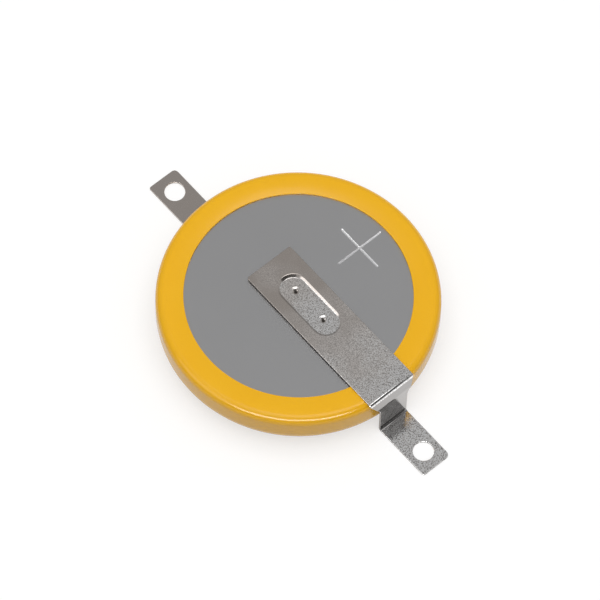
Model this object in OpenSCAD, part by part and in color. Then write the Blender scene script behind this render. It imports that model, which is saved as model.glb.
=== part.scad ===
// Tabbed lithium coin cell, standing on the feet of its two solder tabs.
// The origin is on the cell's axis, in the plane of the feet's undersides.
// +X runs along the tabs towards the positive foot, and +Z towards the positive face.

/* [Can] */
// Outer diameter of the bare cell
cell_d = 20; // [16:0.1:24.5]
// Height of the bare cell, from the cap's face to the can's face
cell_h = 3.2; // [2.6:0.1:5]
// Thickness of the can's and the cap's steel
steel_t = 0.25; // [0.2:0.01:0.3]
// Outer radius of the edge round the positive face
rim_r = 0.5; // [0.4:0.05:0.8]
// Outer radius of the crimp that closes the can
crimp_r = 1.45; // [1.1:0.05:1.5]
// How far the crimped lip reaches in from the can's outer wall
lip_w = 0.95; // [0.8:0.05:1.1]
// How far the cap's face stands proud of the crimp
cap_proud = 0.15; // [0.1:0.01:0.25]

/* [Cap and gasket] */
// Width of the cap's shoulder, from its pan to its skirt
shoulder_w = 0.7; // [0.5:0.05:0.9]
// Outer radius of the cap's pressed edges
cap_edge_r = 0.35; // [0.3:0.05:0.4]
// Thickness of the gasket between the can's wall and the cap's skirt
gasket_t = 0.45; // [0.35:0.05:0.55]
// Thickness of the gasket's base, where the skirt stands on it
gasket_base_t = 0.3; // [0.2:0.05:0.5]
// Thickness of the gasket's inner leg
leg_t = 0.3; // [0.2:0.05:0.4]
// Height of the inner leg above the gasket's base
leg_h = 0.6; // [0.3:0.05:0.8]

/* [Electrodes] */
// Thickness of the lithium disc
lithium_t = 0.65; // [0.55:0.05:0.8]
// Radial gap between the lithium disc and the cap's pan
lithium_gap = 0.45; // [0.3:0.05:1]
// Thickness of the separator
separator_t = 0.15; // [0.1:0.01:0.2]
// Radial gap between the separator and the cap's skirt
separator_gap = 0.15; // [0.1:0.05:0.2]
// Thickness of the steel ring that holds the cathode pellet
ring_t = 0.2; // [0.15:0.01:0.25]
// Height of that ring's wall
ring_h = 0.9; // [0.5:0.05:1]
// Width of that ring's floor
ring_floor_w = 1.6; // [1:0.1:2.5]
// Radial gap between the ring and the gasket's inner leg
ring_gap = 0.5; // [0.3:0.05:1]

/* [Sleeve] */
// Thickness of the shrunk film
sleeve_t = 0.15; // [0.1:0.01:0.2]
// How far the film folds in over the positive face, from the can's outer wall
fold_w = 1.85; // [1:0.05:2.5]
// How far the film folds in under the cap
lower_fold_w = 1.85; // [1.6:0.05:2.5]

/* [Tabs] */
// Thickness of the nickel strip
tab_t = 0.15; // [0.1:0.01:0.2]
// Width of the strip over the cell
strip_w = 4; // [3:0.1:5]
// Width of the neck and the foot
foot_w = 2.5; // [2:0.1:2.9]
// Full-width length of the bent wall, between its top bend and its taper
wall_lead = 0.1; // [0.05:0.05:0.3]
// Length of the strip's taper between the two widths
taper_len = 1.3; // [0.8:0.1:1.4]
// How far the positive strip reaches back past the cell's axis
strip_back = 3.3; // [2.6:0.1:5]
// Gap between the positive tab's wall and the sleeve
wall_gap = 0.1; // [0.05:0.01:0.3]
// Inner radius of the tab's bends
bend_r = 0.15; // [0.1:0.01:0.3]
// How far the straight tab's foot lies below the rest of it
foot_drop = 0.4; // [0.2:0.05:0.6]
// Angle of the slope that leads down to that foot
drop_angle = 45; // [30:1:60]
// Length of each foot, from the bent wall's outer face to its end
foot_len = 4.7; // [3.5:0.1:8]
// Diameter of the hole in each foot
hole_d = 1.5; // [1:0.05:1.8]
// Distance from the hole's centre to the foot's end
hole_back = 1.45; // [1.2:0.05:1.7]
// Corner radius at the foot's end
foot_corner_r = 0.3; // [0.1:0.05:0.5]
// Corner radius at the wide end of the strip
strip_corner_r = 0.15; // [0.1:0.05:0.5]

/* [Weld pads] */
// Distance from the cell's axis to the middle of the positive pad
pad_x = 1.2; // [0.2:0.1:2]
// Length of the pressed oval pad
pad_len = 5.9; // [4.5:0.1:6.5]
// Width of the pressed oval pad
pad_w = 2.4; // [1.8:0.1:2.6]
// Width of the pad's sloping side, seen from above
pad_slope = 0.12; // [0.08:0.01:0.16]
// Distance between the two weld pits
pit_span = 3; // [2:0.1:3.4]
// Radius of a weld pit at the surface
pit_r = 0.2; // [0.15:0.01:0.3]
// Depth of a weld pit
pit_depth = 0.05; // [0.03:0.01:0.06]

/* [Hidden] */
$fn = 96;
// Overlap of a cutting shape past the face that it cuts
cut = 0.5;
// How far the shapes that make one piece run into each other
bite = 0.05;

// Levels, from the plane that the two feet stand on
sleeve_z = foot_drop + tab_t;
cap_face_z = sleeve_z + sleeve_t;
can_face_z = cap_face_z + cell_h;
crimp_z = cap_face_z + cap_proud;
shoulder_z = cap_face_z + lithium_t;
can_floor_z = can_face_z - steel_t;
skirt_end_z = can_floor_z - gasket_base_t;
separator_z = shoulder_z + steel_t;
pellet_z = separator_z + separator_t;
strip_z = can_face_z + sleeve_t;

// Radii, from the can's outer wall inwards
can_r = cell_d / 2;
mouth_r = can_r - lip_w;
skirt_r = can_r - steel_t - gasket_t;
pan_r = skirt_r - shoulder_w;
leg_r = skirt_r - steel_t - leg_t;
ring_r = leg_r - ring_gap;
pellet_r = ring_r - ring_t;
lithium_r = pan_r - steel_t - lithium_gap;
separator_r = skirt_r - steel_t - separator_gap;
sleeve_r = can_r + sleeve_t;
opening_r = can_r - fold_w;
lower_opening_r = can_r - lower_fold_w;

// The bent tab's wall and feet
wall_x = sleeve_r + wall_gap;
foot_x = wall_x + tab_t + foot_len;
hole_x = foot_x - hole_back;
bend_outer_r = bend_r + tab_t;
side_step = (strip_w - foot_w) / 2;
taper_r = (taper_len * taper_len + side_step * side_step) / (2 * side_step);
bend_low_z = strip_z + tab_t - bend_outer_r;
taper_low_z = bend_low_z - wall_lead - taper_len;

// The same blank unrolled, for the straight tab
arc_len = PI / 2 * (bend_r + tab_t / 2);
neck_len = foot_len - bend_r + arc_len + taper_low_z - tab_t - bend_r;
strip_len = strip_back + wall_x + tab_t - bend_outer_r + arc_len + wall_lead;
flat_taper_x = neck_len - foot_x;
flat_back_x = flat_taper_x + taper_len + strip_len;
flat_pad_x = flat_back_x - strip_back - pad_x;

// The pressed pad, as deep as the film is thick, so that its floor meets the steel
pad_wall = tab_t / sin(atan2(sleeve_t, pad_slope));
pit_ball_r = (pit_r * pit_r + pit_depth * pit_depth) / (2 * pit_depth);

// Half of a round section: a block from the axis out to r, with its two outer corners rounded
module half_section(r, z_low, z_high, r_low, r_high) {
  difference() {
    translate([0, z_low]) square([r, z_high - z_low]);
    translate([r - r_low, z_low]) difference() {
      translate([0, -cut]) square([r_low + cut, r_low + cut]);
      translate([0, r_low]) circle(r_low);
    }
    if (r_high > 0) translate([r - r_high, z_high - r_high]) difference() {
      square(r_high + cut);
      circle(r_high);
    }
  }
}

// The space inside the can
module can_cavity() {
  half_section(can_r - steel_t, crimp_z + steel_t, can_floor_z, crimp_r - steel_t, rim_r - steel_t);
}

// The cap's outline, or with inset = steel_t the space inside it
module cap_outline(inset) {
  half_section(pan_r - inset, cap_face_z + inset, skirt_end_z, cap_edge_r - inset, 0);
  half_section(skirt_r - inset, shoulder_z + inset, skirt_end_z, cap_edge_r - inset, 0);
}

// The L-shaped section of the ring round the pellet's base
module ring_section() {
  translate([ring_r - ring_t, can_floor_z - ring_h]) square([ring_t, ring_h]);
  translate([ring_r - ring_floor_w, can_floor_z - ring_t]) square([ring_floor_w, ring_t]);
}

// Steel can, drawn as one cup whose open edge is crimped in over the gasket
module positive_can() {
  color([0.62, 0.62, 0.63]) rotate_extrude() difference() {
    half_section(can_r, crimp_z, can_face_z, crimp_r, rim_r);
    can_cavity();
    translate([0, crimp_z - cut]) square([mouth_r, shoulder_z - crimp_z + cut]);
  }
}

// Pressed steel cap: a face, a shoulder and a skirt that stands in the gasket
module negative_cap() {
  color([0.68, 0.68, 0.69]) rotate_extrude() difference() {
    cap_outline(0);
    cap_outline(steel_t);
    translate([0, skirt_end_z - steel_t]) square([skirt_r - steel_t, steel_t + cut]);
  }
}

// Moulded polypropylene ring that keeps the two cups apart and seals them
module gasket() {
  color([0.86, 0.85, 0.8]) rotate_extrude() {
    difference() {
      can_cavity();
      cap_outline(0);
      square([pan_r, can_face_z]);
      translate([0, shoulder_z]) square([leg_r, can_face_z]);
    }
    translate([leg_r, skirt_end_z - leg_h]) square([leg_t, leg_h]);
  }
}

// Steel ring that the cathode is pressed into
module cathode_ring() {
  color([0.55, 0.56, 0.58]) rotate_extrude() ring_section();
}

// Manganese dioxide pellet
module cathode_pellet() {
  color([0.13, 0.13, 0.14]) rotate_extrude() difference() {
    translate([0, pellet_z]) square([pellet_r, can_floor_z - pellet_z]);
    ring_section();
  }
}

// Unwoven polypropylene disc, laid on the cap's shoulder
module separator() {
  color([0.95, 0.95, 0.93]) translate([0, 0, separator_z]) cylinder(h = separator_t, r = separator_r);
}

// Lithium disc, pressed into the cap's pan
module lithium_anode() {
  color([0.8, 0.8, 0.83])
    translate([0, 0, cap_face_z + steel_t]) cylinder(h = lithium_t, r = lithium_r);
}

// Yellow film, shrunk round the rim and folded over both faces
module insulating_sleeve() {
  lower_r = crimp_r + cap_proud;
  color([0.93, 0.7, 0.15]) rotate_extrude() difference() {
    half_section(sleeve_r, sleeve_z, strip_z, lower_r + sleeve_t, rim_r + sleeve_t);
    half_section(can_r, cap_face_z, can_face_z, lower_r, rim_r);
    translate([0, can_floor_z]) square([opening_r, steel_t + sleeve_t + cut]);
    square([lower_opening_r, cap_face_z + cut]);
  }
}

// The blank's outline where it widens: the neck ends and the taper starts at x = 0
module widening(neck, strip) {
  translate([-neck, -foot_w / 2]) square([neck + bite, foot_w]);
  difference() {
    translate([0, -strip_w / 2]) square([taper_len + strip, strip_w]);
    for (side = [-1, 1]) translate([0, side * (foot_w / 2 + taper_r)]) circle(taper_r);
  }
}

// What rounds the two corners of a strip's end at x = 0, with the strip on the -X side
module end_corners(width, r) {
  for (side = [-1, 1]) translate([-r, side * (width / 2 - r)]) difference() {
    translate([0, side > 0 ? 0 : -r - cut]) square([r + cut, r + cut]);
    circle(r);
  }
}

// Prism with round ends and sloping sides, its radius r_low at the bottom and r_high at the top
module sloped_oval(h, r_low, r_high) {
  half_span = (pad_len - pad_w) / 2;
  for (side = [-1, 1]) translate([side * half_span, 0, 0]) cylinder(h = h, r1 = r_low, r2 = r_high);
  rotate([90, 0, 90]) linear_extrude(2 * half_span, center = true)
    polygon([[-r_low, 0], [r_low, 0], [r_high, h], [-r_high, h]]);
}

// The pad's metal below the strip, with the strip's underside at z = 0
module pad_metal() {
  low_r = pad_w / 2 - 2 * pad_slope + pad_wall;
  h = sleeve_t + bite;
  translate([0, 0, -sleeve_t]) sloped_oval(h, low_r, low_r + pad_slope * h / sleeve_t);
}

// The hollow pressed into the strip's top, with its two weld pits
module pad_hollow() {
  translate([0, 0, tab_t - sleeve_t]) {
    sloped_oval(sleeve_t + cut, pad_w / 2 - pad_slope, pad_w / 2 + pad_slope * cut / sleeve_t);
    for (side = [-1, 1])
      translate([side * pit_span / 2, 0, pit_ball_r - pit_depth]) sphere(pit_ball_r);
  }
}

// The bent strip seen from the side: top, bend, wall, bend and foot
module tab_side() {
  bend_x = wall_x + tab_t - bend_outer_r;
  toe_x = wall_x + tab_t + bend_r;
  toe_z = tab_t + bend_r;
  translate([-strip_back, strip_z]) square([strip_back + bend_x, tab_t]);
  translate([wall_x, toe_z]) square([tab_t, bend_low_z - toe_z]);
  translate([toe_x, 0]) square([foot_x - toe_x, tab_t]);
  translate([bend_x, bend_low_z]) quarter_ring();
  translate([toe_x, toe_z]) mirror([1, 0]) mirror([0, 1]) quarter_ring();
}

// A bend's section, in the +X +Y quarter
module quarter_ring() {
  intersection() {
    difference() {
      circle(bend_outer_r);
      circle(bend_r);
    }
    square(bend_outer_r + cut);
  }
}

// The bent strip seen from the front: foot and neck, taper, then the strip's full width
module tab_front() {
  translate([0, taper_low_z]) rotate(90)
    widening(taper_low_z + cut, wall_lead + bend_outer_r + cut);
}

// Nickel tab welded to the can's face, stepped down past the rim to a foot
module positive_tab() {
  color([0.72, 0.71, 0.7]) difference() {
    union() {
      intersection() {
        rotate([90, 0, 0]) linear_extrude(strip_w + cut, center = true) tab_side();
        translate([-strip_back - cut, 0, 0])
          rotate([90, 0, 90]) linear_extrude(strip_back + foot_x + 2 * cut) tab_front();
      }
      translate([pad_x, 0, strip_z]) pad_metal();
    }
    translate([pad_x, 0, strip_z]) pad_hollow();
    translate([hole_x, 0, -cut]) cylinder(h = tab_t + 2 * cut, d = hole_d);
    translate([foot_x, 0, -cut]) linear_extrude(tab_t + 2 * cut) end_corners(foot_w, foot_corner_r);
    translate([-strip_back, 0, strip_z - cut]) rotate(180)
      linear_extrude(tab_t + 2 * cut) end_corners(strip_w, strip_corner_r);
  }
}

// The straight tab seen from the side: its foot, a slope, and the strip under the cell
module drop_side() {
  low_x = -wall_x;
  high_x = low_x + foot_drop / tan(drop_angle);
  mitre = tab_t * tan(drop_angle / 2);
  polygon([[-foot_x, 0], [low_x, 0], [high_x, foot_drop], [flat_back_x, foot_drop], [flat_back_x, sleeve_z],
           [high_x - mitre, sleeve_z], [low_x - mitre, tab_t], [-foot_x, tab_t]]);
}

// The same blank welded to the cap's face, with only its foot stepped down
module negative_tab() {
  color([0.72, 0.71, 0.7]) difference() {
    union() {
      intersection() {
        rotate([90, 0, 0]) linear_extrude(strip_w + cut, center = true) drop_side();
        translate([flat_taper_x, 0, -cut]) linear_extrude(sleeve_z + 2 * cut) difference() {
          widening(neck_len + cut, strip_len + cut);
          translate([-neck_len, 0]) rotate(180) end_corners(foot_w, foot_corner_r);
          translate([taper_len + strip_len, 0]) end_corners(strip_w, strip_corner_r);
        }
      }
      translate([flat_pad_x, 0, sleeve_z]) mirror([0, 0, 1]) pad_metal();
    }
    translate([flat_pad_x, 0, sleeve_z]) mirror([0, 0, 1]) pad_hollow();
    translate([-hole_x, 0, -cut]) cylinder(h = tab_t + 2 * cut, d = hole_d);
  }
}

positive_can();
negative_cap();
gasket();
cathode_ring();
cathode_pellet();
separator();
lithium_anode();
insulating_sleeve();
positive_tab();
negative_tab();
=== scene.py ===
# Looks of the tabbed lithium coin cell: a steel cell in a yellow shrunk sleeve, with two nickel tabs.
# It stands on its tabs' feet. +X runs along the tabs to the positive foot, and +Z to the positive face.

import math

import bmesh
import bpy
from mathutils import Matrix, Vector


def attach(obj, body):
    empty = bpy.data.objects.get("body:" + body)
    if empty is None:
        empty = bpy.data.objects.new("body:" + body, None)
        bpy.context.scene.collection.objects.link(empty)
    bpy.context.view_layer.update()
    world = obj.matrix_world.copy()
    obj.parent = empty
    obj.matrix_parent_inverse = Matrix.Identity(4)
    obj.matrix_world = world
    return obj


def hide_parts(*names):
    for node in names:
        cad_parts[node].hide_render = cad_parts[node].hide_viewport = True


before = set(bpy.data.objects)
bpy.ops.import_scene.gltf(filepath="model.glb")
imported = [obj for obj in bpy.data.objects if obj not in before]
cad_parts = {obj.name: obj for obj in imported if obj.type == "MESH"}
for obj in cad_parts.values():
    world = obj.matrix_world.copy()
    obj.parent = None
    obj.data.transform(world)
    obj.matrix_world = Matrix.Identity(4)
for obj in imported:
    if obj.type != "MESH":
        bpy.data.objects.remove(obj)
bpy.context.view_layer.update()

MM = 0.001
# How far apart two places may lie, in millimetres, and still count as the same one: closely and loosely.
HAIR = 0.001
SLACK = 0.01

# Sizes in millimetres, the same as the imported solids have.
CAN_R = 10.0
CELL_H = 3.2
FACE_Z = 3.90
STEEL_T = 0.25
RIM_R = 0.5
CRIMP_R = 1.45
LIP_R = 9.05
LIP_Z = 0.85
SLEEVE_T = 0.15
SLEEVE_Z = 0.55
SLEEVE_LOW_R = 1.75
OPENING_R = 8.15
TAB_T = 0.15
STRIP_HALF = 2.0
NECK_HALF = 1.25
TAPER_R = 1.5
TAPER_LEN = 1.3
WALL_X = 10.25
WALL_LEAD = 0.1
BEND_R = 0.15
STRIP_BACK = 3.3
FOOT_END = 15.1
FOOT_DROP = 0.4
HOLE_R = 0.75
HOLE_BACK = 1.45
STRIP_CORNER_R = 0.15
PAD_X = 1.2
PAD_LEN = 5.9
PAD_HALF = 1.2
PAD_DEPTH = 0.15
PIT_SPAN = 3.0
# The straight tab is the same blank, so its wide part and its pad lie where the unrolled one's do.
FLAT_WIDE_X = -6.697
FLAT_BACK_X = 7.157
FLAT_PAD_X = 2.657

# What only the scene has, in millimetres, with the one angle in degrees.
# The real bent tab slopes along the sleeve's shoulder, at this angle from upright and down to this height.
SHOULDER_SLOPE = 25
SHOULDER_Z = 3.434
FIRST_BEND_R = 0.22
SECOND_BEND_R = 0.5
# The stamp left one corner of a foot tighter than the other: each one's side and radius.
FOOT_CORNERS = ((-1, 0.2), (1, 0.35))
# Steps in from the weld pad's outline: each one's width, and its share of the pad's depth.
PAD_STEPS = ((0.05, 0.06), (0.05, 0.16), (0.12, 0.56), (0.05, 0.16), (0.05, 0.06))
# Steps in from a weld pit's outline, over a low lip and down: each one's width and rise.
PIT_R = 0.45
PIT_STEPS = ((0.03, 0.006), (0.04, -0.006), (0.1, -0.026), (0.1, -0.03), (0.05, -0.04), (0.03, -0.008))
PIT_BURNT_R = 0.13
# The plus sign, and the steps in from its outline down to the bottom of its groove.
PLUS_CENTRE = Vector((-0.1, 5.8))
PLUS_ARM = 2.0
PLUS_STROKE = 0.17
PLUS_STEPS = ((0.018, -0.02), (0.022, -0.012), (0.022, -0.004))
# The can's steel is turned outside this radius. The face inside it is filled in round the plus sign.
FACE_RING_R = 7.9


def begin(name, width, depth, middle, tilt=0):
    """Adds a plane, in millimetres and tilted about X, and leaves its object at the origin."""
    turn = (math.radians(tilt), 0, 0)
    bpy.ops.object.select_all(action="DESELECT")
    bpy.ops.mesh.primitive_plane_add(size=MM, location=Vector(middle) * MM, rotation=turn)
    piece = bpy.context.object
    piece.scale = (width, depth, 1)
    piece.name = name
    piece.data.name = name
    bpy.ops.object.transform_apply(location=True, rotation=True, scale=True)
    return piece


def open_mesh(piece):
    """Goes into edit mode on one piece, with nothing in it selected."""
    bpy.ops.object.select_all(action="DESELECT")
    piece.select_set(True)
    bpy.context.view_layer.objects.active = piece
    bpy.ops.object.mode_set(mode="EDIT")
    bpy.ops.mesh.select_all(action="DESELECT")


def close_mesh():
    bpy.ops.object.mode_set(mode="OBJECT")


def add_square(side, middle):
    """Adds a square to the open mesh, and leaves it selected."""
    bpy.ops.mesh.select_all(action="DESELECT")
    bpy.ops.mesh.primitive_plane_add(size=side * MM, location=Vector(middle) * MM)


def add_circle(radius, middle, vertices):
    """Adds a circle's outline to the open mesh, and leaves it selected."""
    bpy.ops.mesh.select_all(action="DESELECT")
    bpy.ops.mesh.primitive_circle_add(radius=radius * MM, location=Vector(middle) * MM, vertices=vertices)


def pick(kind, test):
    """Selects the vertices, edges or faces whose middle, in millimetres, passes the test."""
    bpy.ops.mesh.select_mode(type=kind)
    bpy.ops.mesh.select_all(action="DESELECT")
    mesh = bmesh.from_edit_mesh(bpy.context.object.data)
    for v in mesh.verts:
        if kind == "VERT":
            v.select = bool(test(v.co / MM))
    for e in mesh.edges:
        if kind == "EDGE" and test((e.verts[0].co + e.verts[1].co) / 2 / MM):
            e.select_set(True)
    for f in mesh.faces:
        if kind == "FACE" and test(f.calc_center_median() / MM):
            f.select_set(True)
    mesh.select_flush_mode()
    bmesh.update_edit_mesh(bpy.context.object.data)


def fill_outline(test):
    """Fills what is selected, together with the open edges whose two ends, in millimetres, pass the test."""
    bpy.ops.mesh.select_mode(type="EDGE")
    mesh = bmesh.from_edit_mesh(bpy.context.object.data)
    for e in mesh.edges:
        if len(e.link_faces) < 2 and all(test(v.co / MM) for v in e.verts):
            e.select_set(True)
    bmesh.update_edit_mesh(bpy.context.object.data)
    bpy.ops.mesh.fill(use_beauty=True)


def take_largest_face():
    """Selects the face with the most corners."""
    bpy.ops.mesh.select_mode(type="FACE")
    bpy.ops.mesh.select_all(action="DESELECT")
    mesh = bmesh.from_edit_mesh(bpy.context.object.data)
    max(mesh.faces, key=lambda f: len(f.verts)).select_set(True)
    bmesh.update_edit_mesh(bpy.context.object.data)


def step_in(steps, rise=1):
    """Insets the selected face step by step. A step is a width, and a height that is taken times the rise."""
    mesh = bmesh.from_edit_mesh(bpy.context.object.data)
    looks = 1 if next(f for f in mesh.faces if f.select).normal.z > 0 else -1
    for width, height in steps:
        bpy.ops.mesh.inset(thickness=width * MM, depth=height * rise * looks * MM)


def widen(x=1, y=1, z=1, about=(0, 0, 0)):
    bpy.ops.transform.resize(value=(x, y, z), center_override=Vector(about) * MM)


def extrude(x=0, y=0, z=0):
    bpy.ops.mesh.extrude_region_move(TRANSFORM_OT_translate={"value": (x * MM, y * MM, z * MM)})


def round_corners(radius, segments):
    bpy.ops.mesh.bevel(offset=radius * MM, segments=segments, affect="VERTICES", clamp_overlap=False)


def merge(reach=HAIR):
    """Joins the open mesh's vertices that lie within the reach of each other, and leaves all selected."""
    bpy.ops.mesh.select_all(action="SELECT")
    bpy.ops.mesh.remove_doubles(threshold=reach * MM)


def finish_with(piece, kind, **settings):
    """Adds a modifier with its settings and applies it."""
    bpy.ops.object.select_all(action="DESELECT")
    piece.select_set(True)
    bpy.context.view_layer.objects.active = piece
    made = piece.modifiers.new(kind.lower(), kind)
    for name, value in settings.items():
        setattr(made, name, value)
    bpy.ops.object.modifier_apply(modifier=made.name)


def thicken(piece, thickness, **settings):
    """Gives a sheet its thickness, on the side that it doesn't face."""
    finish_with(
        piece, "SOLIDIFY", thickness=thickness * MM, offset=-1, use_even_offset=True, **settings
    )


def shade(piece, angle):
    """Smooths over bends of up to the angle, in degrees, and shades flat faces flat."""
    bpy.ops.object.shade_smooth_by_angle(angle=math.radians(angle))
    finish_with(piece, "WEIGHTED_NORMAL", mode="FACE_AREA", weight=60, keep_sharp=True)


def soften(piece, width, segments=2, material=-1):
    """Breaks the sharp edges, and shades the piece."""
    finish_with(
        piece,
        "BEVEL",
        width=width * MM,
        segments=segments,
        limit_method="ANGLE",
        angle_limit=math.radians(50),
        material=material,
        loop_slide=False,
    )
    shade(piece, 42)


def half_outline(name, inner_r, outer_r, low, high, low_corner, high_corner):
    """A turned piece's outer line: top, side and underside, each corner given as a radius and its segments.

    The mesh is left open.
    """
    middle = ((inner_r + outer_r) / 2, 0, (high + low) / 2)
    piece = begin(name, outer_r - inner_r, high - low, middle, tilt=90)
    open_mesh(piece)
    pick("FACE", lambda p: True)
    bpy.ops.mesh.delete(type="ONLY_FACE")
    pick("EDGE", lambda p: p.x < inner_r + SLACK)
    bpy.ops.mesh.delete(type="EDGE")
    pick("VERT", lambda p: p.x > outer_r - SLACK and p.z > middle[2])
    round_corners(*high_corner)
    pick("VERT", lambda p: p.x > outer_r - SLACK and p.z < middle[2])
    round_corners(*low_corner)
    return piece


def turn_round(piece, steps):
    """Spins the drawn half section once round the cell's axis and closes the seam."""
    open_mesh(piece)
    bpy.ops.mesh.select_all(action="SELECT")
    bpy.ops.mesh.spin(steps=steps, angle=math.tau, center=(0, 0, 0), axis=(0, 0, 1))
    merge()
    bpy.ops.mesh.normals_make_consistent(inside=False)
    close_mesh()


def face_to(piece, spot, way):
    """Turns a sheet over unless its face nearest to that spot looks up, for way 1, or down, for way -1."""
    spot = Vector(spot) * MM
    nearest = min(piece.data.polygons, key=lambda f: (f.center - spot).length)
    if nearest.normal.z * way < 0:
        open_mesh(piece)
        bpy.ops.mesh.select_all(action="SELECT")
        bpy.ops.mesh.flip_normals()
        close_mesh()


def shrunk_sleeve():
    """The film: its outer line from one opening's edge to the other's, turned and thickened inwards."""
    high = FACE_Z + SLEEVE_T
    low_corner = (SLEEVE_LOW_R, 18)
    high_corner = (RIM_R + SLEEVE_T, 14)
    piece = half_outline("sleeve_film", OPENING_R, CAN_R + SLEEVE_T, SLEEVE_Z, high, low_corner, high_corner)
    close_mesh()
    turn_round(piece, 288)
    thicken(piece, SLEEVE_T)
    soften(piece, 0.04)
    return piece


def drawn_can():
    """The steel cup, its lip crimped in below, with the plus sign pressed into its face."""
    piece = half_outline("can_shell", FACE_RING_R, CAN_R, LIP_Z, FACE_Z, (CRIMP_R, 24), (RIM_R, 10))
    # The crimp's arc goes on inwards only as far as the lip does.
    merge()
    pick("VERT", lambda p: p.x < LIP_R - 2 * SLACK and p.z < FACE_Z / 2)
    bpy.ops.mesh.delete(type="VERT")
    close_mesh()
    turn_round(piece, 192)
    press_plus(piece)
    face_to(piece, (0, -4, FACE_Z), 1)
    thicken(piece, STEEL_T)
    shade(piece, 35)
    return piece


def press_plus(piece):
    """Closes the can's face round a plus sign, and presses the sign in as a shallow groove."""
    half = PLUS_STROKE / 2
    top = FACE_Z - SLACK
    open_mesh(piece)
    add_square(PLUS_STROKE, (*PLUS_CENTRE, FACE_Z))
    for way in (Vector((1, 0)), Vector((-1, 0)), Vector((0, 1)), Vector((0, -1))):
        pick("EDGE", lambda p: (p.xy - PLUS_CENTRE - way * half).length < SLACK and p.z > top)
        extrude(*(way * (PLUS_ARM - half)))
    pick("FACE", lambda p: (p.xy - PLUS_CENTRE).length < PLUS_ARM and p.z > top)
    bpy.ops.mesh.dissolve_faces()
    pick("VERT", lambda p: PLUS_ARM / 2 < (p.xy - PLUS_CENTRE).length < PLUS_ARM + SLACK and p.z > top)
    round_corners(half * 0.9, 4)
    pick("EDGE", lambda p: p.xy.length < FACE_RING_R + HAIR and p.z > top)
    bpy.ops.mesh.fill(use_beauty=True)
    take_largest_face()
    step_in(PLUS_STEPS)
    close_mesh()


def strip_blank(name, x_from, x_to, corner_end, pad_x, z, lift):
    """The wide part of a tab as a flat sheet, two corners rounded, with the weld pad pressed into it."""
    piece = begin(name, x_to - x_from, STRIP_HALF * 2, ((x_from + x_to) / 2, 0, z))
    open_mesh(piece)
    pick("VERT", lambda p: abs(p.x - corner_end) < SLACK)
    round_corners(STRIP_CORNER_R, 4)
    # The pad's oval stands as a second sheet in the same plane, and the strip is filled again round it.
    add_square(1, (pad_x, 0, z))
    widen(PAD_LEN, PAD_HALF * 2, 1, about=(pad_x, 0, z))
    round_corners(PAD_HALF, 14)
    merge(2 * HAIR)
    pick("FACE", lambda p: abs(p.z - z) < SLACK)
    bpy.ops.mesh.delete(type="ONLY_FACE")
    bpy.ops.mesh.select_all(action="SELECT")
    bpy.ops.mesh.fill(use_beauty=True)
    bpy.ops.mesh.select_all(action="SELECT")
    bpy.ops.mesh.normals_make_consistent(inside=False)
    # The oval gets a face of its own, which steps in, and down or up, in a soft slope.
    pick("EDGE", lambda p: on_oval(p, pad_x))
    bpy.ops.mesh.edge_face_add()
    take_largest_face()
    step_in(PAD_STEPS, lift)
    weld_pits(pad_x, z + lift, 1 if lift < 0 else -1)
    close_mesh()
    return piece


def on_oval(p, pad_x):
    """True on the weld pad's outline."""
    along = max(abs(p.x - pad_x) - (PAD_LEN / 2 - PAD_HALF), 0)
    return abs(math.hypot(along, p.y) - PAD_HALF) < 3 * SLACK


def weld_pits(pad_x, z, side):
    """Two spots in the pad's floor where the welding pins stood: a low lip round a small crater."""
    spots = [Vector((pad_x + dx, 0, z)) for dx in (-PIT_SPAN / 2, PIT_SPAN / 2)]
    pad = Vector((pad_x, 0))
    for spot in spots:
        add_circle(PIT_R, spot, vertices=24)
    take_largest_face()
    bpy.ops.mesh.delete(type="ONLY_FACE")
    fill_outline(lambda p: abs(p.z - z) < HAIR and (p.xy - pad).length < PAD_LEN / 2)
    for spot in spots:
        pick("EDGE", lambda p: abs((p - spot).length - PIT_R) < SLACK)
        bpy.ops.mesh.edge_face_add()
        step_in(PIT_STEPS, side)


def cut_foot(end_x, level, way):
    """The hole and the rounded end corners of a foot that the open strip ends in."""
    # The foot's flat face has its middle past the first of these places, and its edges past the second.
    face_from = end_x - way * 4.3
    edges_from = face_from - way * 0.6
    for side, radius in FOOT_CORNERS:
        corner = Vector((end_x, side * NECK_HALF, level))
        pick("VERT", lambda p: (p - corner).length < SLACK)
        round_corners(radius, 5)
    add_circle(HOLE_R, (end_x - way * HOLE_BACK, 0, level), vertices=56)
    pick("FACE", lambda p: way * (p.x - face_from) > 0 and abs(p.z - level) < HAIR)
    bpy.ops.mesh.delete(type="ONLY_FACE")
    fill_outline(lambda p: way * (p.x - edges_from) > 0 and abs(p.z - level) < HAIR)


def taper_half(part):
    """Half the tab's width at a part of the way down the taper, from the strip's to the neck's."""
    left = TAPER_LEN * (1 - part)
    return min(NECK_HALF + TAPER_R - math.sqrt(TAPER_R**2 - left**2), STRIP_HALF)


def bend_points(centre, radius, start, end, steps):
    """Points along a bend's arc in the XZ plane, without its first one."""
    turned = [math.radians(start + (end - start) * i / steps) for i in range(1, steps + 1)]
    return [(centre[0] + radius * math.cos(a), centre[1] + radius * math.sin(a)) for a in turned]


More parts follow.
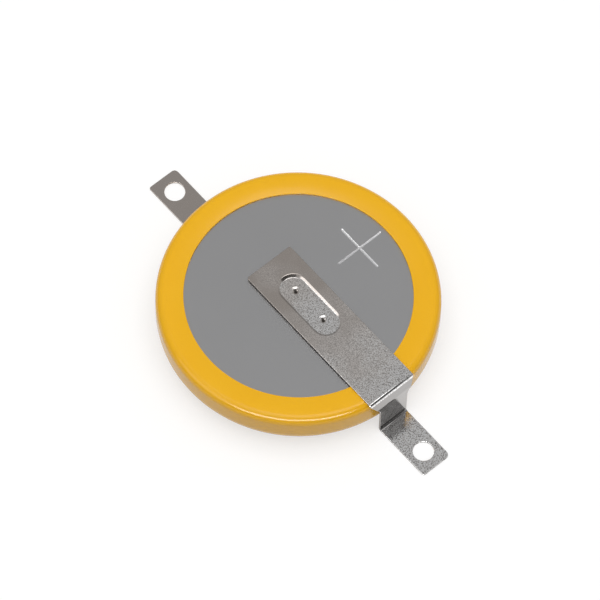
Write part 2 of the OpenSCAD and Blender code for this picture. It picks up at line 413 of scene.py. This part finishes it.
def wall_line():
    """The bent tab's outer face from the side, from its flat top to its foot.

    It bends down sharply, slopes along the sleeve's shoulder, and then drops straight to its last bend.
    """
    top = FACE_Z + SLEEVE_T + TAB_T
    wall_x = WALL_X + TAB_T
    slope = math.radians(SHOULDER_SLOPE)
    along = Vector((math.sin(slope), -math.cos(slope)))
    low_corner = Vector((wall_x, SHOULDER_Z))
    high_corner = low_corner - along * ((top - SHOULDER_Z) / math.cos(slope))
    reach = FIRST_BEND_R * math.tan((math.pi / 2 - slope) / 2)
    first = (high_corner.x - reach, top - FIRST_BEND_R)
    second = (wall_x - SECOND_BEND_R, SHOULDER_Z - SECOND_BEND_R * math.tan(slope / 2))
    points = [(first[0], top)]
    points += bend_points(first, FIRST_BEND_R, 90, SHOULDER_SLOPE, 7)
    points += bend_points(second, SECOND_BEND_R, SHOULDER_SLOPE, 0, 4)
    # The straight wall is drawn in steps, because it narrows as it goes down.
    taper_end = top - TAB_T - BEND_R - WALL_LEAD - TAPER_LEN
    steps = 8
    points += [
        (wall_x, points[-1][1] + (taper_end - points[-1][1]) * i / steps) for i in range(1, steps + 1)
    ]
    low_bend = (wall_x + BEND_R, TAB_T + BEND_R)
    points += [(wall_x, low_bend[1])]
    return points + bend_points(low_bend, BEND_R, 180, 270, 6)


def half_width(z):
    """Half the bent tab's width at a height on its wall."""
    taper_start = FACE_Z + SLEEVE_T - BEND_R - WALL_LEAD
    return taper_half(min(max((taper_start - z) / TAPER_LEN, 0), 1))


def bent_tab(coats):
    """The tab on the face: it runs past the rim, bends down, narrows, and bends out into its foot."""
    line = wall_line()
    start_x, top = line[0]
    piece = strip_blank("positive_tab_strip", -STRIP_BACK, start_x, -STRIP_BACK, PAD_X, top, -PAD_DEPTH)
    open_mesh(piece)
    pick("EDGE", lambda p: abs(p.x - start_x) < SLACK)
    for (x0, z0), (x1, z1) in zip(line, line[1:]):
        extrude(x=x1 - x0, z=z1 - z0)
        widen(y=half_width(z1) / half_width(z0))
    extrude(x=FOOT_END - line[-1][0])
    cut_foot(FOOT_END, TAB_T, 1)
    close_mesh()
    return finish_tab(piece, 1, PAD_X, FACE_Z, coats)


def straight_tab(coats):
    """The tab under the cell: the same blank, its weld pad raised to the cap and its foot stepped down."""
    piece = strip_blank(
        "negative_tab_strip", FLAT_WIDE_X, FLAT_BACK_X, FLAT_BACK_X, FLAT_PAD_X, FOOT_DROP, PAD_DEPTH
    )
    open_mesh(piece)
    pick("EDGE", lambda p: abs(p.x - FLAT_WIDE_X) < SLACK)
    steps = 10
    for i in range(steps):
        extrude(x=-TAPER_LEN / steps)
        widen(y=taper_half((i + 1) / steps) / taper_half(i / steps))
    # The step slopes at 45 degrees, and a loop beside it leaves its lower bend room.
    step_x = -(WALL_X - FOOT_DROP)
    room = 0.4
    extrude(x=step_x - (FLAT_WIDE_X - TAPER_LEN))
    extrude(x=-FOOT_DROP, z=-FOOT_DROP)
    extrude(x=-room)
    extrude(x=-(FOOT_END - WALL_X - room))
    pick("EDGE", lambda p: min(abs(p.x - step_x), abs(p.x + WALL_X)) < HAIR and abs(p.y) < 1)
    bpy.ops.mesh.bevel(offset=0.08 * MM, segments=4, affect="EDGES", clamp_overlap=False)
    cut_foot(-FOOT_END, 0, -1)
    close_mesh()
    return finish_tab(piece, -1, FLAT_PAD_X, FACE_Z - CELL_H, coats)


def finish_tab(piece, way, pad_x, weld_z, coats):
    """Turns the drawn side up, for way 1, or down, for -1, and gives the tab its thickness and edges.

    The side away from it lies on the steel, at the height of the weld.
    """
    coat(piece, *coats)
    open_mesh(piece)
    merge()
    bpy.ops.mesh.normals_make_consistent(inside=False)
    close_mesh()
    face_to(piece, (4, 1.9, 4 * way), way)
    # The rim takes the edge finish, which is painted darker as shade.
    thicken(piece, TAB_T, material_offset_rim=1)
    # The pits dent only the side that the pins stood on, so the side on the steel is made flat again.
    open_mesh(piece)
    pick("VERT", lambda p: HAIR < (weld_z - p.z) * way < 0.2 and abs(p.y) < 1)
    widen(z=0, about=(0, 0, weld_z))
    close_mesh()
    # Each flat side becomes one large face again, so that the rounded edges don't bend its shading.
    finish_with(
        piece, "DECIMATE", decimate_type="DISSOLVE", angle_limit=math.radians(0.5), delimit={"MATERIAL"}
    )
    soften(piece, 0.055, segments=3, material=0)
    # The bottom of each pit is burnt dark.
    for f in piece.data.polygons:
        out = math.hypot(abs(f.center.x / MM - pad_x) - PIT_SPAN / 2, f.center.y / MM)
        above_steel = (f.center.z / MM - weld_z) * way
        if out < PIT_BURNT_R and 0.02 < above_steel < 0.13:
            f.material_index = 2
    return piece


def linear(code):
    """An sRGB hex colour as the linear one that a shader takes."""
    parts = [int(code[i : i + 2], 16) / 255 for i in (1, 3, 5)]
    return [x / 12.92 if x <= 0.04045 else ((x + 0.055) / 1.055) ** 2.4 for x in parts] + [1.0]


def add(tree, kind, sockets=None, **settings):
    """Adds one node. A socket's value is set on it or, when it is another node's output, linked to it."""
    made = tree.nodes.new(kind)
    for name, value in settings.items():
        setattr(made, name, value)
    for name, value in (sockets or {}).items():
        if isinstance(value, bpy.types.NodeSocket):
            tree.links.new(value, made.inputs[name])
        else:
            made.inputs[name].default_value = value
    return made


def reckon(tree, operation, *values):
    """The result of one sum."""
    return add(tree, "ShaderNodeMath", dict(enumerate(values)), operation=operation).outputs[0]


def spread(tree, value, low, high, start=0.0, end=1.0, **settings):
    """A value that goes from low to high while another goes from start to end."""
    sockets = {"Value": value, "From Min": start, "From Max": end, "To Min": low, "To Max": high}
    return add(tree, "ShaderNodeMapRange", sockets, **settings).outputs["Result"]


def mix(tree, part, first, second):
    """The first number where the part is 0, and the second where it is 1."""
    return add(tree, "ShaderNodeMix", {"Factor": part, "A": first, "B": second}).outputs[0]


def tint(tree, part, first, second):
    """The first hex colour where the part is 0, and the second where it is 1."""
    sockets = {"Factor": part, 6: linear(first), 7: linear(second)}
    return add(tree, "ShaderNodeMix", sockets, data_type="RGBA").outputs[2]


def own_place(tree):
    return add(tree, "ShaderNodeTexCoord").outputs["Object"]


def noise(tree, place, size, detail):
    """A cloudy pattern from 0 to 1, with lumps of that many millimetres."""
    sockets = {"Vector": place, "Scale": 1 / (size * MM), "Detail": detail}
    return add(tree, "ShaderNodeTexNoise", sockets).outputs["Fac"]


def relief(tree, height, strength, depth):
    """A pattern as fine relief, its depth in millimetres."""
    sockets = {"Height": height, "Strength": strength, "Distance": depth * MM}
    return add(tree, "ShaderNodeBump", sockets).outputs["Normal"]


def new_material(name):
    """An empty node material, and its tree."""
    made = bpy.data.materials.new(name)
    made.use_nodes = True
    made.node_tree.nodes.clear()
    return made, made.node_tree


def surface(tree, sockets):
    """Ends a material in one shader with those sockets."""
    shader = add(tree, "ShaderNodeBsdfPrincipled", sockets)
    add(tree, "ShaderNodeOutputMaterial", {"Surface": shader.outputs[0]})


def shrunk_pvc():
    """Shrunk PVC film: dyed through, glossy, and slightly uneven where it drew tight over the steel."""
    made, tree = new_material("shrunk_pvc")
    place = own_place(tree)
    cloud = noise(tree, place, 3.5, detail=2.0)
    wave = noise(tree, place, 1.6, detail=1.0)
    sockets = {
        "Base Color": tint(tree, cloud, "#EEB002", "#F1B60A"),
        "Roughness": spread(tree, cloud, 0.16, 0.24),
        "IOR": 1.53,
        "Normal": relief(tree, wave, strength=0.25, depth=0.02),
    }
    surface(tree, sockets)
    return made


def satin_steel(name, dark, light, rough):
    """Stainless strip, rolled and then pressed: even and satin, with hardly any grain to see."""
    made, tree = new_material(name)
    place = own_place(tree)
    # The real grain is about 0.02 mm and can't show, so it is drawn at 0.12 mm and kept faint.
    grain = noise(tree, place, 0.12, detail=2.0)
    cloud = noise(tree, place, 4.0, detail=1.0)
    sockets = {
        "Base Color": tint(tree, cloud, dark, light),
        "Metallic": 1.0,
        "Roughness": spread(tree, grain, rough - 0.03, rough + 0.03),
    }
    surface(tree, sockets)
    return made


def groove_steel_painted_bright():
    """Steel bared by the stamp: rough, and painted brighter than steel, a painted highlight, so that the sign
    shows pale from any side.
    """
    made, tree = new_material("groove_steel_painted_bright")
    grain = noise(tree, own_place(tree), 0.1, detail=2.0)
    sockets = {
        "Base Color": linear("#F4F4F5"),
        "Metallic": 1.0,
        "Roughness": spread(tree, grain, 0.4, 0.6),
    }
    surface(tree, sockets)
    return made


def rolled_nickel():
    """Nickel strip as rolled: half bright and faintly warm, with the rolls' mottle and fine pits.

    Its colour is painted darker and browner away from the foot, as painted reflection. It is smooth where the
    bending die pressed the wall, and painted dark there, as a painted dark reflection.
    """
    made, tree = new_material("rolled_nickel")
    place = own_place(tree)
    apart = add(tree, "ShaderNodeSeparateXYZ", {0: place}).outputs
    mottle = noise(tree, place, 0.55, detail=4.0)
    patch = noise(tree, place, 3.0, detail=2.0)
    # The rolls' pits are about 0.03 mm wide and can't show, so they are drawn at 0.08 mm. Their pattern is
    # turned, because the noise is weak in the planes of its own grid, and the strip lies flat in one.
    turned = add(tree, "ShaderNodeMapping", {"Vector": place, "Rotation": (0.6, 0.4, 0.0)}).outputs["Vector"]
    peel = noise(tree, turned, 0.08, detail=1.0)
    # Painted reflection: the metal is drawn lighter, in patches, the nearer it lies to the bent foot, and
    # lighter on the pad's floor.
    along = reckon(tree, "MULTIPLY_ADD", apart["X"], 60.0, patch)
    pad_floor = reckon(tree, "COMPARE", apart["Z"], 4.05 * MM, 0.04 * MM)
    along = reckon(tree, "MULTIPLY_ADD", pad_floor, 0.45, along)
    patchy_painted_sheen = spread(tree, along, 0.0, 1.0, start=0.3, end=1.2)
    # The bent wall and its bends lie within 0.2 mm of this place.
    burnished_and_darkened_wall = reckon(tree, "COMPARE", apart["X"], 10.35 * MM, 0.2 * MM)
    rolled = reckon(tree, "SUBTRACT", 1.0, burnished_and_darkened_wall)
    # The pits show off the wall, and most where the painted sheen is high.
    pits = spread(tree, peel, 0.42, 1.65, start=0.35, end=0.65)
    # Painted dark reflection: on the wall the colour is taken down to 0.48 of the rest.
    plain = spread(tree, burnished_and_darkened_wall, 1.0, 0.48)
    specks_and_wall_shade = mix(tree, reckon(tree, "MULTIPLY", rolled, patchy_painted_sheen), plain, pits)
    # The painted sheen runs the colour from a darker, browner grey to a light one.
    colours = {"Factor": 1.0, 6: tint(tree, patchy_painted_sheen, "#C9C0B9", "#F6F3F1"), 7: specks_and_wall_shade}
    colour = add(tree, "ShaderNodeMix", colours, data_type="RGBA", blend_type="MULTIPLY").outputs[2]
    sockets = {
        "Base Color": colour,
        "Metallic": 1.0,
        "Roughness": spread(tree, mottle, 0.12, 0.18, start=0.3, end=0.7),
        "Normal": relief(tree, peel, strength=rolled, depth=0.003),
    }
    surface(tree, sockets)
    return made


def sheared_and_shaded_nickel():
    """The strip's stamped edge: torn rather than rolled, so it is rough, and painted darker than the faces as
    painted shade.
    """
    made, tree = new_material("sheared_and_shaded_nickel")
    tear = noise(tree, own_place(tree), 0.15, detail=3.0)
    sockets = {
        "Base Color": tint(tree, tear, "#6E6864", "#9A948F"),
        "Metallic": 1.0,
        "Roughness": spread(tree, tear, 0.45, 0.6),
    }
    surface(tree, sockets)
    return made


def plain_finish(name, dark, light, rough, size, metallic=0.0, bump=0.0, ior=None):
    """A dull finish for what lies inside: one pattern sets its colour, its gloss and its relief."""
    made, tree = new_material(name)
    grain = noise(tree, own_place(tree), size, detail=5.0)
    sockets = {
        "Base Color": tint(tree, grain, dark, light),
        "Metallic": metallic,
        "Roughness": spread(tree, grain, rough - 0.06, rough + 0.06),
        "Normal": relief(tree, grain, strength=0.5, depth=bump),
    }
    if ior:
        sockets["IOR"] = ior
    surface(tree, sockets)
    return made


def coat(piece, *materials):
    piece.data.materials.clear()
    for m in materials:
        piece.data.materials.append(m)


def dress():
    """Makes the new pieces, puts them in the place of their solids, and finishes everything."""
    nickel = rolled_nickel()
    steel = satin_steel("satin_stainless_can", "#C4C4C5", "#C7C7C8", 0.3)

    sleeve = shrunk_sleeve()
    coat(sleeve, shrunk_pvc())
    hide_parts("insulating_sleeve")
    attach(sleeve, "root")

    can = drawn_can()
    # The plus sign's groove takes the second finish, painted bright as a highlight.
    coat(can, steel, groove_steel_painted_bright())
    # The plus sign's groove lies just under the face.
    for f in can.data.polygons:
        if FACE_Z - 0.08 < f.center.z / MM < FACE_Z - HAIR and f.center.xy.length < FACE_RING_R * MM:
            f.material_index = 1
    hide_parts("positive_can")
    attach(can, "root")

    # Nickel that the welding current burnt: dark, dry scale.
    burnt = plain_finish("burnt_nickel", "#26211E", "#3E3834", 0.6, 0.1, metallic=0.5, bump=0.01)
    coats = (nickel, sheared_and_shaded_nickel(), burnt)
    for tab, node in ((bent_tab(coats), "positive_tab"), (straight_tab(coats), "negative_tab")):
        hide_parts(node)
        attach(tab, "root")

    finishes = {
        "negative_cap": satin_steel("satin_stainless_cap", "#C5C5C6", "#C9C9CA", 0.32),
        # Natural polypropylene, moulded: milky and satin.
        "gasket": plain_finish(
            "moulded_polypropylene", "#E6E4DA", "#ECEAE2", 0.45, 1.5, bump=0.003, ior=1.49
        ),
        # Pressed steel strip with no finish of its own.
        "cathode_ring": plain_finish(
            "pressed_steel", "#B6B6B8", "#C0C0C2", 0.38, 0.5, metallic=1.0, bump=0.002
        ),
        # Manganese dioxide powder with carbon, pressed: near black and matt, with a visible grain.
        "cathode_pellet": plain_finish("pressed_oxide_powder", "#1B1B1C", "#2C2B2B", 0.85, 0.12, bump=0.03),
        # Unwoven polypropylene felt: white, soft and matt.
        "separator": plain_finish("unwoven_felt", "#E4E3DC", "#F4F3EE", 0.9, 0.1, bump=0.03, ior=1.49),
        # Lithium foil, rolled: silver that has dulled to a soft grey.
        "lithium_anode": plain_finish(
            "rolled_lithium", "#B4B4B8", "#C8C8CB", 0.5, 0.8, metallic=1.0, bump=0.01
        ),
    }
    for node, made in finishes.items():
        coat(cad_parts[node], made)


def view_axes(azimuth, elevation, roll=0.0):
    """Right, up and back for a camera or lamp that looks at the cell from that angle, in degrees."""
    a, e, r = (math.radians(x) for x in (azimuth, elevation, roll))
    back = Vector((math.sin(a) * math.cos(e), -math.cos(a) * math.cos(e), math.sin(e)))
    right = Vector((math.cos(a), math.sin(a), 0))
    up = back.cross(right)
    return right * math.cos(r) + up * math.sin(r), up * math.cos(r) - right * math.sin(r), back


def stand(thing, aim, distance, axes):
    """Puts a camera or lamp that many metres back from its aim."""
    turn = Matrix(axes).transposed().to_4x4()
    thing.matrix_world = Matrix.Translation(aim + axes[2] * distance) @ turn


def long_lens():
    """A long lens from above the near side, almost without perspective, as the photograph was taken."""
    axes = view_axes(azimuth=47.53, elevation=62.21, roll=2.16)
    # The picture's middle lies a little beside the cell's, in millimetres to the right and up.
    aim = Vector((0, 0, 1.9 * MM)) + axes[0] * 0.139 * MM + axes[1] * 0.598 * MM
    bpy.ops.object.camera_add()
    camera = bpy.context.object
    camera.data.sensor_width = 36
    camera.data.lens = 337.4
    stand(camera, aim, 0.4, axes)
    bpy.context.scene.camera = camera


def softbox(name, azimuth, elevation, width, height, power, lights=True, shows=True):
    """A soft lamp half a metre off, its sides in millimetres, which lights, shows as a highlight, or both."""
    bpy.ops.object.light_add(type="AREA")
    lamp = bpy.context.object
    lamp.name = name
    lamp.data.shape = "RECTANGLE"
    lamp.data.size = width * MM
    lamp.data.size_y = height * MM
    lamp.data.energy = power
    lamp.visible_diffuse = lights
    lamp.visible_glossy = shows
    stand(lamp, Vector((0, 0, 0)), 0.5, view_axes(azimuth, elevation))


def seen_rays(tree):
    """The kinds of ray, and 1 for those that look, reflect or pass through, where those that light have 0."""
    path = add(tree, "ShaderNodeLightPath").outputs
    seen = path["Is Camera Ray"]
    for kind in ("Is Glossy Ray", "Is Transmission Ray"):
        seen = reckon(tree, "MAXIMUM", seen, path[kind])
    return path, seen


def part_of_room(tree, direction, azimuth, elevation, reach, edge):
    """1 round one direction of the room, and 0 past the reach from it, with a soft edge, all in degrees."""
    ways = {0: direction, 1: view_axes(azimuth, elevation)[2]}
    near = add(tree, "ShaderNodeVectorMath", ways, operation="DOT_PRODUCT").outputs["Value"]
    start = math.cos(math.radians(reach))
    end = math.cos(math.radians(reach - edge))
    return spread(tree, near, 0.0, 1.0, start, end, interpolation_type="SMOOTHSTEP")


def white_room():
    """White light from all round. Polished metal shows a grey room, darker towards its floor."""
    world = bpy.data.worlds.new("white_room")
    bpy.context.scene.world = world
    world.use_nodes = True
    tree = world.node_tree
    tree.nodes.clear()
    path, seen = seen_rays(tree)
    direction = add(tree, "ShaderNodeTexCoord").outputs["Generated"]
    height = add(tree, "ShaderNodeSeparateXYZ", {0: direction}).outputs["Z"]
    room = spread(tree, height, 0.2, 0.4, start=0.0, end=0.5, interpolation_type="SMOOTHSTEP")
    opening = part_of_room(tree, direction, azimuth=85, elevation=42, reach=40, edge=8)
    window = part_of_room(tree, direction, azimuth=-15, elevation=38, reach=22, edge=6)
    skylight = part_of_room(tree, direction, azimuth=150, elevation=83, reach=17, edge=6)
    for part, glow in ((opening, 0.06), (window, 1.6), (skylight, 1.6)):
        room = mix(tree, part, room, glow)
    shown = {"Color": (1, 1, 1, 1), "Strength": mix(tree, path["Is Camera Ray"], room, 1.0)}
    light = {"Color": (1, 1, 1, 1), "Strength": 0.5}
    both = {0: seen}
    both[1] = add(tree, "ShaderNodeBackground", light).outputs[0]
    both[2] = add(tree, "ShaderNodeBackground", shown).outputs[0]
    add(tree, "ShaderNodeOutputWorld", {"Surface": add(tree, "ShaderNodeMixShader", both).outputs[0]})


def white_floor():
    """A plain white sheet under the cell, clear from below, so that the cell can be looked at from there."""
    floor = begin("floor", 3000, 3000, (0, 0, -0.01))
    made, tree = new_material("white_sheet")
    # The sheet glows only for the rays that are seen, so that it looks white and lights nothing.
    glow = reckon(tree, "MULTIPLY", seen_rays(tree)[1], 0.62)
    paper = {
        "Base Color": linear("#ABABAB"),
        "Roughness": 0.9,
        "Specular IOR Level": 0.0,
        "Emission Color": (1, 1, 1, 1),
        "Emission Strength": glow,
    }
    both = {0: add(tree, "ShaderNodeNewGeometry").outputs["Backfacing"]}
    both[1] = add(tree, "ShaderNodeBsdfPrincipled", paper).outputs[0]
    both[2] = add(tree, "ShaderNodeBsdfTransparent").outputs[0]
    add(tree, "ShaderNodeOutputMaterial", {"Surface": add(tree, "ShaderNodeMixShader", both).outputs[0]})
    coat(floor, made)


dress()
white_floor()
white_room()
long_lens()
softbox("overhead", 46.4, 85, 450, 450, 1.5, shows=False)
softbox("front_strip", 46.4, 38, 600, 80, 2.1, lights=False)
bpy.context.scene.view_settings.view_transform = "Standard"
